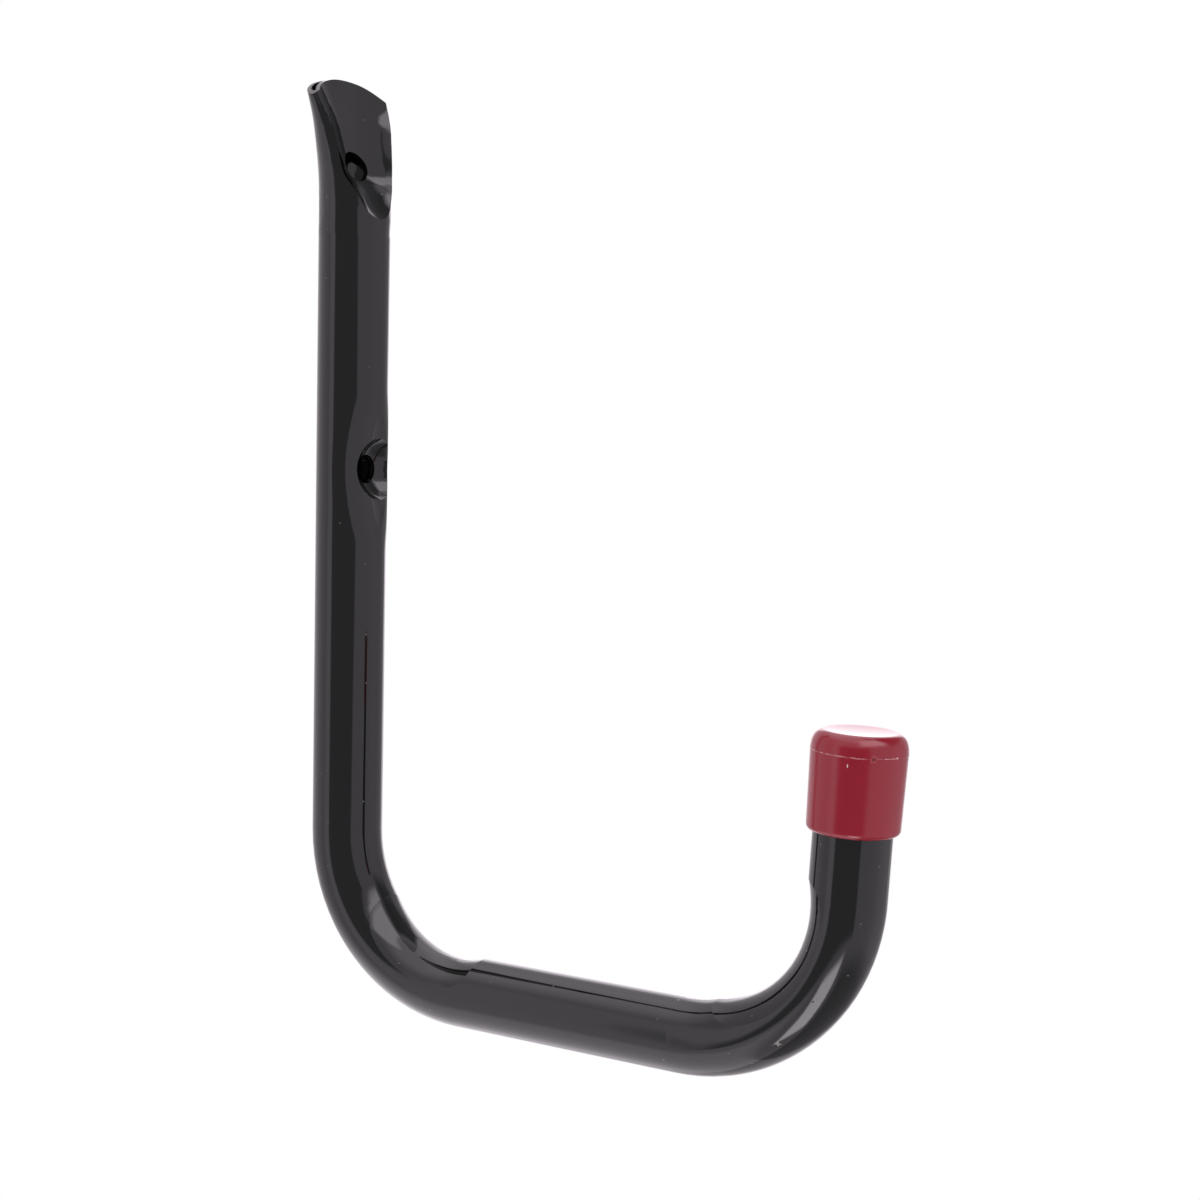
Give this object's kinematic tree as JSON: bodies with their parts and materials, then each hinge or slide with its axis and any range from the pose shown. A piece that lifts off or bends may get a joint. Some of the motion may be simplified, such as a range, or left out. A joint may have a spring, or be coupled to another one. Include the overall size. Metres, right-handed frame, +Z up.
{
  "type": "garage utility hook",
  "caption": "Bent steel tube wall hook with a flattened and drilled top end, a straight arm and a moulded plastic cap on its upturned tip.",
  "frame": {"origin": "on the wall plane, halfway between the two screw holes", "axes": "+X square out of the wall, along the hook's arm; +Y sideways along the wall; +Z up along the hook's leg"},
  "size_m": [0.1699, 0.0265, 0.248],
  "materials": {
    "gloss_black_paint": "gloss paint on steel tube",
    "red_vinyl": "smooth moulded vinyl, slightly shiny"
  },
  "bodies": {
    "root": {"tube_hook": "gloss_black_paint", "end_cap": "red_vinyl"}
  },
  "joints": []
}
